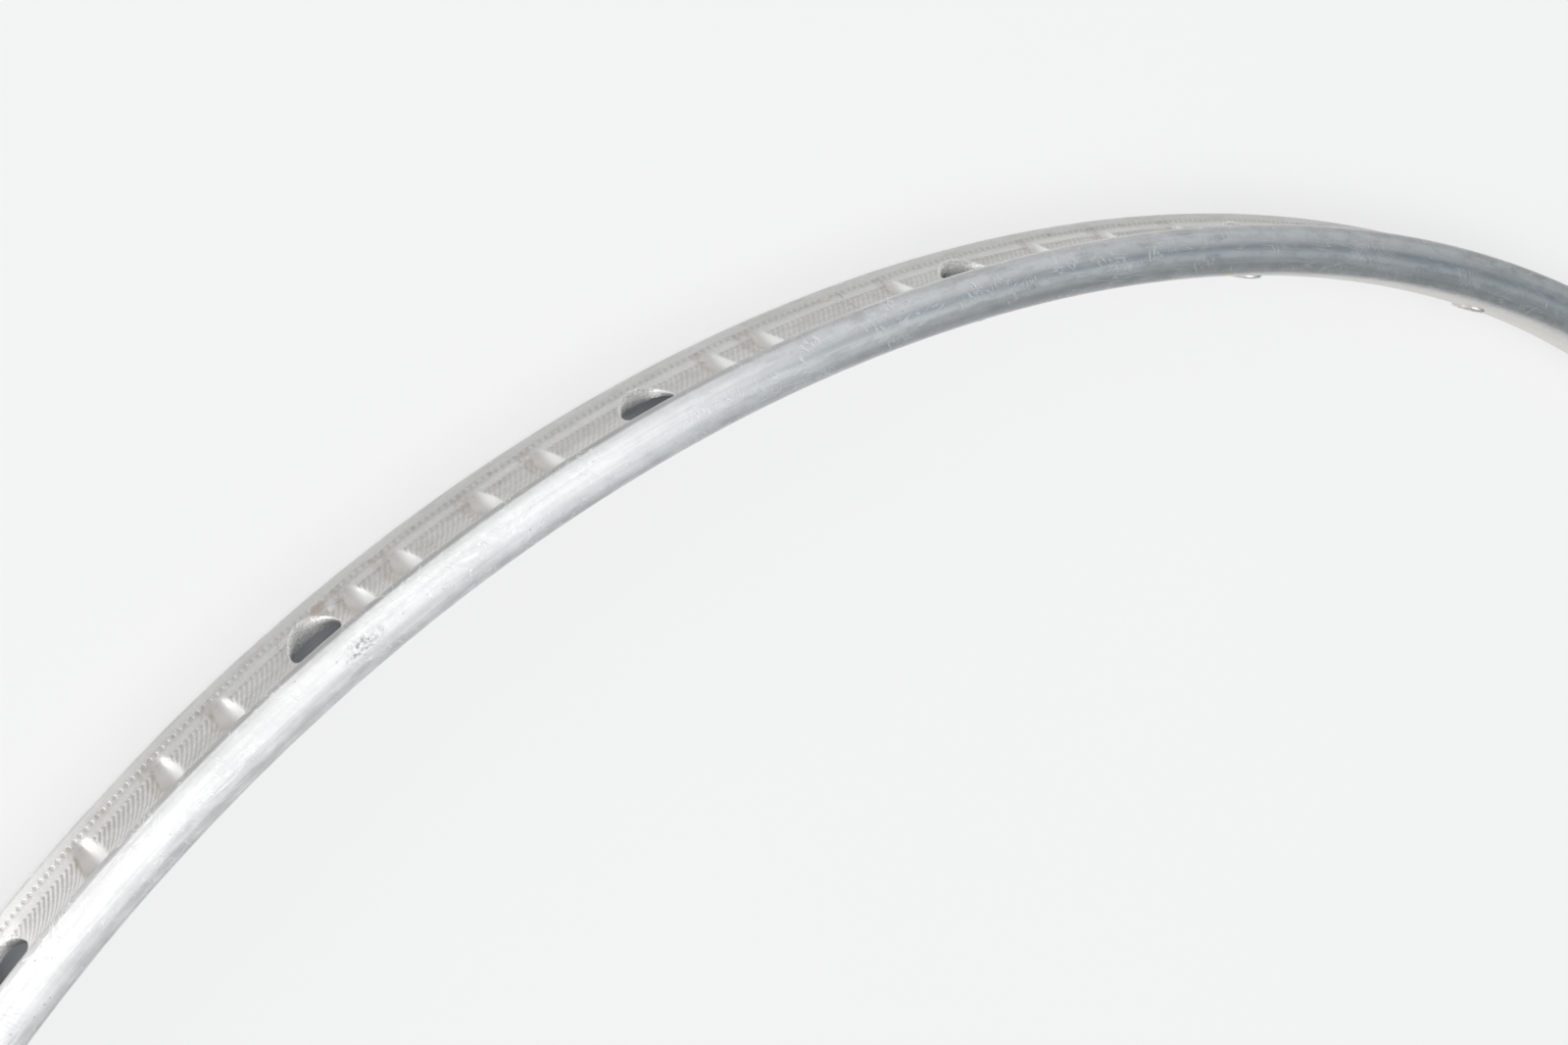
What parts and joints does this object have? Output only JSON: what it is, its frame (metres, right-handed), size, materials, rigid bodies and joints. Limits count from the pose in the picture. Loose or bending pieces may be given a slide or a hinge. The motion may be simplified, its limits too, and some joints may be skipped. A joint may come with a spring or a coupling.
{
  "type": "bicycle rim",
  "caption": "Hollow silver aluminium racing rim for glued tyres, with a concave bed, access holes over eyeletted spoke holes, and a valve hole.",
  "frame": {"origin": "centre of the rim, at the level of the surface it lies on", "axes": "+Z along the rim's axis, +X out through the valve hole, with the hoop's joint at -X"},
  "size_m": [0.6318, 0.6318, 0.0198],
  "materials": {
    "rim_alloy": "bright drawn, worn",
    "eyelet_metal": "plated",
    "sleeve_alloy": "plain drawn"
  },
  "bodies": {
    "root": {"rim_hoop": "rim_alloy", "spoke_eyelets": "eyelet_metal", "joint_sleeve": "sleeve_alloy"}
  },
  "joints": []
}
